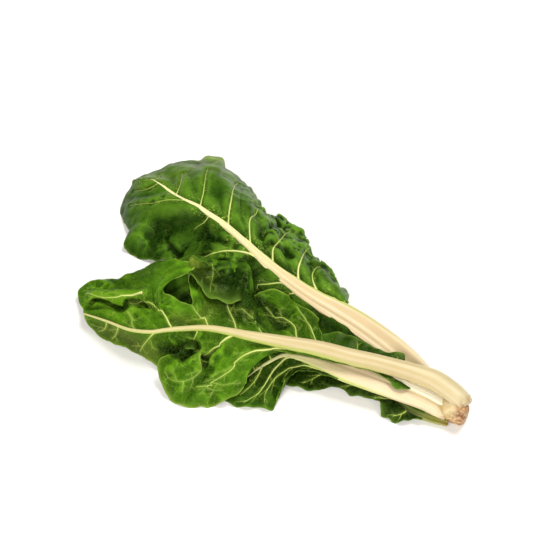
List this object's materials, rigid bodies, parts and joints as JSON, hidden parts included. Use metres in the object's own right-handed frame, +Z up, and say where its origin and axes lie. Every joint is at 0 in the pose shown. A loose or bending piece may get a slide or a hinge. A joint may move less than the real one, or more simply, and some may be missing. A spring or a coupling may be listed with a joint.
{
  "type": "swiss chard",
  "caption": "Head of white-stalked Swiss chard, cut at the root and lying on its side, with large waved leaves along pale stalks.",
  "frame": {"origin": "on the surface that the plant lies on, below the middle of its box", "axes": "+X from the leaf tips to the cut crown, +Y to the back leaf's side, +Z up from the surface"},
  "size_m": [0.4536, 0.3083, 0.0541],
  "materials": {
    "crown": "rough cut root end, cream with tan and brown corky spots",
    "stalk": "fresh, moist, semi-gloss cream stem with fine lengthwise ribs and a greenish edge",
    "leaf_upper_side": "glossy, dark green, crinkled leaf with pale yellow-green veins",
    "leaf_under_side": "satin, mid green underside of a crinkled leaf with raised pale veins"
  },
  "bodies": {
    "root": {"crown": "crown", "back_leaf_stalk": "stalk", "back_leaf_blade": "leaf_upper_side", "top_leaf_stalk": "stalk", "top_leaf_blade": "leaf_under_side", "front_leaf_stalk": "stalk", "front_leaf_blade": "leaf_upper_side", "under_leaf_stalk": "stalk", "under_leaf_blade": "leaf_upper_side", "inner_leaf_stalk": "stalk", "inner_leaf_blade": "leaf_upper_side"}
  },
  "joints": []
}
